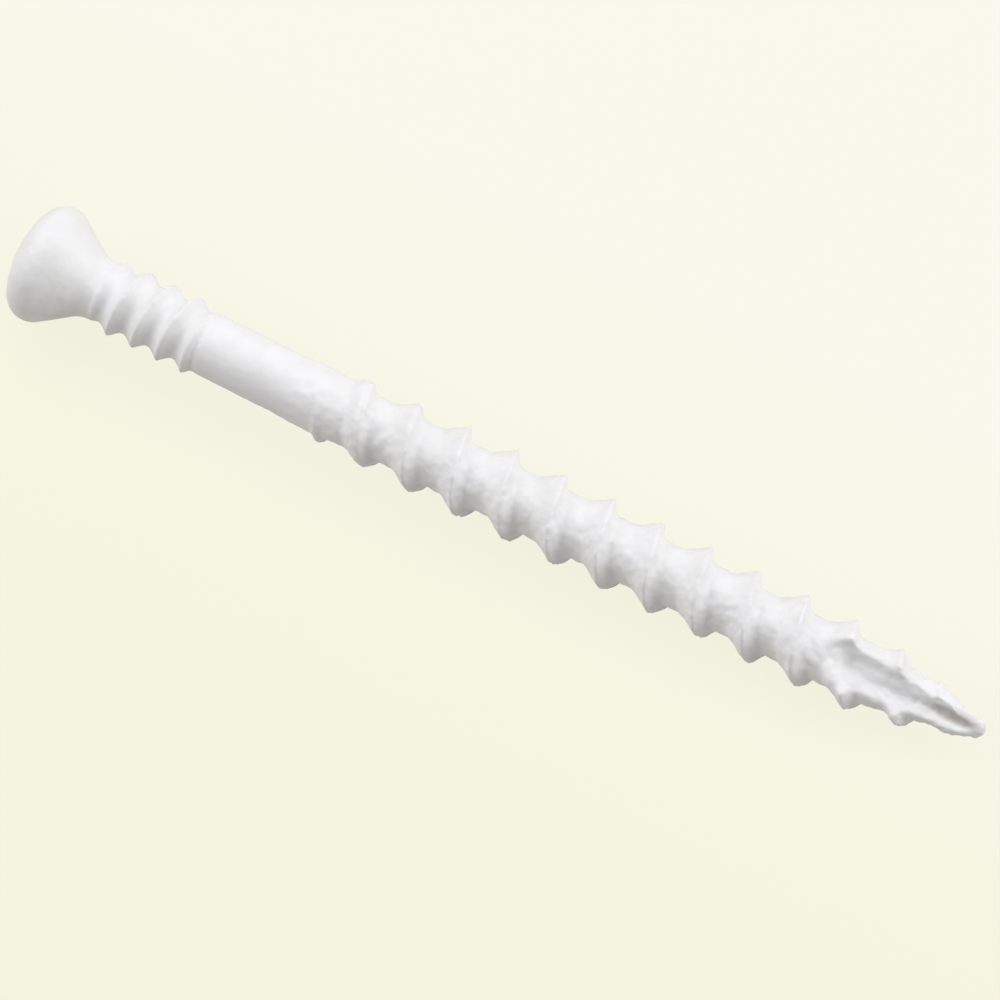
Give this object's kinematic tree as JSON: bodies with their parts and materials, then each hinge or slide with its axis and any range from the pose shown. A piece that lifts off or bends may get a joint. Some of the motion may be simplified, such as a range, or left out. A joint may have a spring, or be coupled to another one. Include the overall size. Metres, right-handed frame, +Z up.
{
  "type": "trim head wood screw",
  "caption": "Long thin wood screw, painted white: small domed trim head, fine reverse thread under it, plain shank, coarse thread and a notched self-drilling point.",
  "frame": {"origin": "middle of the part's outer box, on the surface that it lies on", "axes": "+X along the screw from its head to its point, +Z up, with the cutting notch of the point turned up and a little towards -Y"},
  "size_m": [0.057, 0.0066, 0.0065],
  "materials": {
    "white_paint": "thick satin white paint over steel, with soft edges"
  },
  "bodies": {
    "root": {"trim_screw": "white_paint"}
  },
  "joints": []
}
